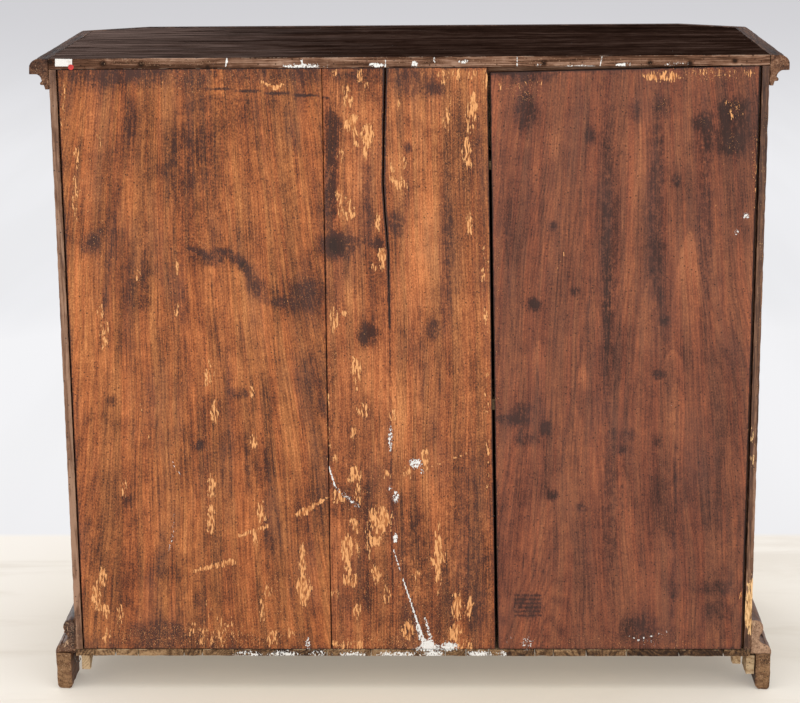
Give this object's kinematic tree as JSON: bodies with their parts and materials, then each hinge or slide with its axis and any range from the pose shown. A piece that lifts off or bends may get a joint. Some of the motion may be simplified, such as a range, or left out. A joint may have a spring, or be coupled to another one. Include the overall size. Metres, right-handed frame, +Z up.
{
  "type": "credenza",
  "caption": "Walnut credenza with canted front corners, boarded back, moulded top and plinth, bracket feet, sliding drawers and hinged doors with turning keys.",
  "frame": {"origin": "on the floor, at the middle of the credenza's bounding box in plan", "axes": "+X towards the right of a person facing the front, +Y towards the back, +Z up"},
  "size_m": [1.198, 0.529, 1.06],
  "materials": {
    "walnut": "worn shellac on walnut",
    "dark_top": "dark stain, waxed",
    "back_brown": "thin brown stain, dry and worn",
    "back_dark": "thin red-brown stain, dry and worn",
    "raw_wood": "bare softwood, aged",
    "iron": "forged iron, dark with age"
  },
  "bodies": {
    "carcass": {"top_board": "dark_top", "cornice_front": "walnut", "cornice_cants": "walnut", "cornice_left": "walnut", "cornice_right": "walnut", "side_left": "walnut", "side_right": "walnut", "corner_post_left": "walnut", "corner_post_right": "walnut", "back_board_left": "back_dark", "back_board_middle": "back_brown", "back_board_right": "back_brown", "back_rail": "raw_wood", "floor_boards": "raw_wood", "top_rail": "walnut", "drawer_rail": "walnut", "bottom_rail": "walnut", "centre_stile": "walnut", "frieze_stile": "walnut", "dust_board": "raw_wood", "drawer_runners": "raw_wood", "shelf": "raw_wood", "shelf_battens": "raw_wood", "plinth_front": "walnut", "plinth_cants": "walnut", "plinth_left": "walnut", "plinth_right": "walnut", "rear_feet": "walnut", "front_feet": "walnut", "glue_blocks": "raw_wood", "hinge_pins": "iron"},
    "drawer_left": {"drawer_front_left": "walnut", "drawer_sides_left": "raw_wood", "drawer_back_left": "raw_wood", "drawer_bottom_left": "raw_wood", "drawer_knob_left": "walnut"},
    "door_left": {"door_stiles_left": "walnut", "door_rails_left": "walnut", "door_panel_left": "walnut", "door_moulding_left": "walnut", "hinge_barrels_left": "iron", "lock_case_left": "iron", "escutcheon_left": "iron"},
    "bolt_left_body": {"bolt_left": "iron"},
    "key_left_body": {"key_left": "iron"},
    "drawer_right": {"drawer_front_right": "walnut", "drawer_sides_right": "raw_wood", "drawer_back_right": "raw_wood", "drawer_bottom_right": "raw_wood", "drawer_knob_right": "walnut"},
    "door_right": {"door_stiles_right": "walnut", "door_rails_right": "walnut", "door_panel_right": "walnut", "door_moulding_right": "walnut", "hinge_barrels_right": "iron", "lock_case_right": "iron", "escutcheon_right": "iron"},
    "bolt_right_body": {"bolt_right": "iron"},
    "key_right_body": {"key_right": "iron"}
  },
  "joints": [
    {"name": "drawer_left_slide", "type": "slide", "parent": "carcass", "child": "drawer_left", "axis": [0, -1, 0], "range_m": [0, 0.3]},
    {"name": "door_left_hinge", "type": "hinge", "parent": "carcass", "child": "door_left", "pos_m": [-0.454, -0.2305, 0.508], "axis": [0, 0, -1], "range_deg": [0, 150]},
    {"name": "key_left_turn", "type": "hinge", "parent": "door_left", "child": "key_left_body", "pos_m": [-0.072, -0.2305, 0.508], "axis": [0, 1, 0], "range_deg": [0, 90]},
    {"name": "bolt_left_slide", "type": "slide", "parent": "door_left", "child": "bolt_left_body", "axis": [1, 0, 0], "range_m": [0, 0.0198]},
    {"name": "drawer_right_slide", "type": "slide", "parent": "carcass", "child": "drawer_right", "axis": [0, -1, 0], "range_m": [0, 0.3]},
    {"name": "door_right_hinge", "type": "hinge", "parent": "carcass", "child": "door_right", "pos_m": [0.454, -0.2305, 0.508], "axis": [0, 0, 1], "range_deg": [0, 150]},
    {"name": "key_right_turn", "type": "hinge", "parent": "door_right", "child": "key_right_body", "pos_m": [0.072, -0.2305, 0.508], "axis": [0, -1, 0], "range_deg": [0, 90]},
    {"name": "bolt_right_slide", "type": "slide", "parent": "door_right", "child": "bolt_right_body", "axis": [-1, 0, 0], "range_m": [0, 0.0198]}
  ],
  "couplings": [
    {"joint": "key_left_turn", "follows": "bolt_left_slide", "rad_per_m": 79.3},
    {"joint": "key_right_turn", "follows": "bolt_right_slide", "rad_per_m": 79.3}
  ]
}
